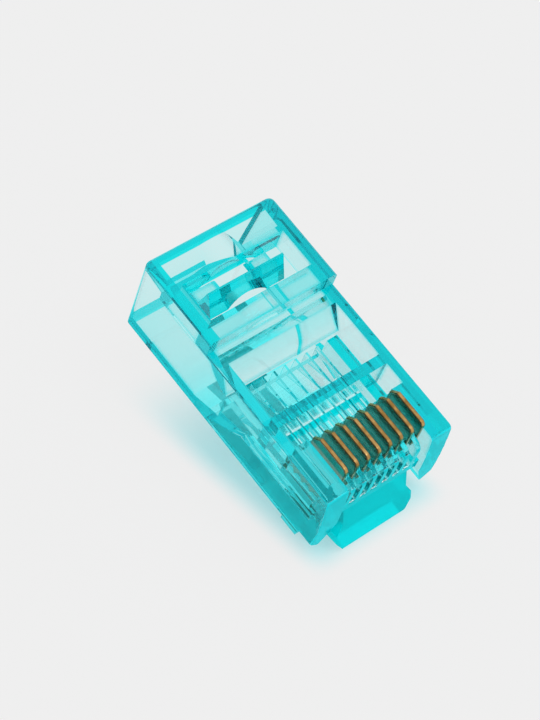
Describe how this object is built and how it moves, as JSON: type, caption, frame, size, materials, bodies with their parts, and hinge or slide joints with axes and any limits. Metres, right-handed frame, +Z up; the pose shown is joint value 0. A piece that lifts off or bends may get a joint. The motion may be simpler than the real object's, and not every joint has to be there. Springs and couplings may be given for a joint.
{
  "type": "modular plug",
  "caption": "Clear moulded RJ45 modular plug, not yet crimped, with gold contact blades in a comb, wire window, cable room and a sprung latch; it lies contacts up.",
  "frame": {"origin": "centre of the footprint's bounding box on the floor the plug lies on", "axes": "+X forward toward the plug's nose, +Y across the plug, +Z up; the plug lies on its latch, leaning nose down by 8.7 degrees"},
  "size_m": [0.0224, 0.0116, 0.0128],
  "materials": {
    "clear_plastic": "clear glossy polycarbonate",
    "gold_contact": "gold flash over bronze"
  },
  "bodies": {
    "housing": {"housing": "clear_plastic"},
    "latch": {"latch": "clear_plastic"},
    "jacket_jaw": {"jacket_jaw": "clear_plastic"},
    "contact_1": {"contact_1": "gold_contact"},
    "contact_2": {"contact_2": "gold_contact"},
    "contact_3": {"contact_3": "gold_contact"},
    "contact_4": {"contact_4": "gold_contact"},
    "contact_5": {"contact_5": "gold_contact"},
    "contact_6": {"contact_6": "gold_contact"},
    "contact_7": {"contact_7": "gold_contact"},
    "contact_8": {"contact_8": "gold_contact"}
  },
  "joints": [
    {"name": "latch_flex", "type": "hinge", "parent": "housing", "child": "latch", "pos_m": [0.00991, 0, 0.00434], "axis": [0, 1, 0], "range_deg": [0, 11], "stiffness_Nm_per_rad": 0.3},
    {"name": "jaw_press", "type": "hinge", "parent": "housing", "child": "jacket_jaw", "pos_m": [-0.00721, 0, 0.0104], "axis": [0, 1, 0], "range_deg": [0, 30]},
    {"name": "crimp_1", "type": "slide", "parent": "housing", "child": "contact_1", "axis": [-0.1513, 0, -0.9885], "range_m": [0, 0.00145]},
    {"name": "crimp_2", "type": "slide", "parent": "housing", "child": "contact_2", "axis": [-0.1513, 0, -0.9885], "range_m": [0, 0.00145]},
    {"name": "crimp_3", "type": "slide", "parent": "housing", "child": "contact_3", "axis": [-0.1513, 0, -0.9885], "range_m": [0, 0.00145]},
    {"name": "crimp_4", "type": "slide", "parent": "housing", "child": "contact_4", "axis": [-0.1513, 0, -0.9885], "range_m": [0, 0.00145]},
    {"name": "crimp_5", "type": "slide", "parent": "housing", "child": "contact_5", "axis": [-0.1513, 0, -0.9885], "range_m": [0, 0.00145]},
    {"name": "crimp_6", "type": "slide", "parent": "housing", "child": "contact_6", "axis": [-0.1513, 0, -0.9885], "range_m": [0, 0.00145]},
    {"name": "crimp_7", "type": "slide", "parent": "housing", "child": "contact_7", "axis": [-0.1513, 0, -0.9885], "range_m": [0, 0.00145]},
    {"name": "crimp_8", "type": "slide", "parent": "housing", "child": "contact_8", "axis": [-0.1513, 0, -0.9885], "range_m": [0, 0.00145]}
  ]
}
